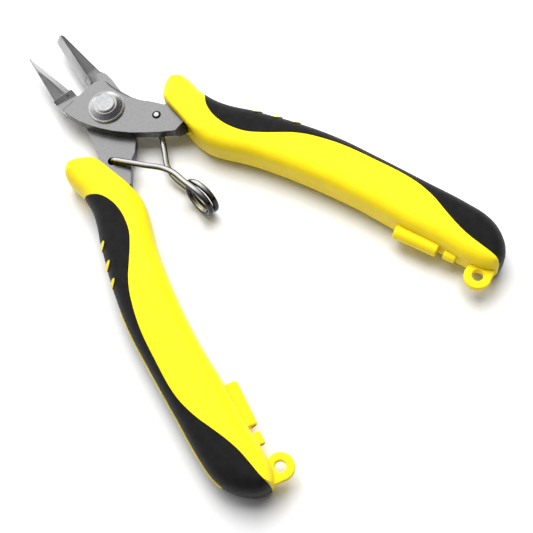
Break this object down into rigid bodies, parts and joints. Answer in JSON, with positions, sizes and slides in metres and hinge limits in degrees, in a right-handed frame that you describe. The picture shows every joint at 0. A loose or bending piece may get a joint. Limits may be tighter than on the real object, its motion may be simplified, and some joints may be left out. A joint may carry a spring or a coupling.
{
  "type": "flush cut pliers",
  "caption": "Small spring-open diagonal cutting pliers with flush-ground jaws, a riveted lap joint, an exposed wire return spring and two-tone curved grips with hanging eyes",
  "frame": {"origin": "on the pivot axis, at the flat rear end of the pivot rivet, which is the plane the tool lies on", "axes": "+Z is the pivot axis and points to the front face; +X runs between the open handles, away from the jaws; +Y is towards the front lever's handle"},
  "size_m": [0.1259, 0.0864, 0.0106],
  "materials": {
    "steel": "satin ground stainless steel, brighter on the ground edges",
    "pivot": "bright turned steel with fine concentric marks",
    "wire": "polished nickel plated spring wire",
    "yellow_plastic": "lemon yellow moulded plastic, satin gloss",
    "black_rubber": "charcoal soft-touch rubber, fine matte grain"
  },
  "bodies": {
    "front_lever": {"front_lever": "steel", "pivot_rivet": "pivot", "front_collar": "pivot", "rear_collar": "pivot", "front_grip_core": "yellow_plastic", "front_grip_sleeve": "black_rubber"},
    "rear_lever": {"rear_lever": "steel", "rear_grip_core": "yellow_plastic", "rear_grip_sleeve": "black_rubber"},
    "spring_front_leg": {"spring_front_leg": "wire"},
    "spring_rear_leg": {"spring_rear_leg": "wire"}
  },
  "joints": [
    {"name": "jaw_pivot", "type": "hinge", "parent": "front_lever", "child": "rear_lever", "pos_m": [0, 0, 0.0052], "axis": [0, 0, 1], "range_deg": [0, 16.5], "stiffness_Nm_per_rad": 0.05},
    {"name": "spring_front_hook", "type": "hinge", "parent": "front_lever", "child": "spring_front_leg", "pos_m": [0.0107, 0.0073, 0.0052], "axis": [0, 0, 1], "range_deg": [0, 13.5]},
    {"name": "spring_coil", "type": "hinge", "parent": "spring_front_leg", "child": "spring_rear_leg", "pos_m": [0.0342, 0.00037, 0.0052], "axis": [0, 0, 1], "range_deg": [-8.05, 0]}
  ],
  "couplings": [
    {"joint": "spring_front_hook", "follows": "jaw_pivot", "ratio": 0.8156},
    {"joint": "spring_coil", "follows": "jaw_pivot", "ratio": -0.4837}
  ]
}
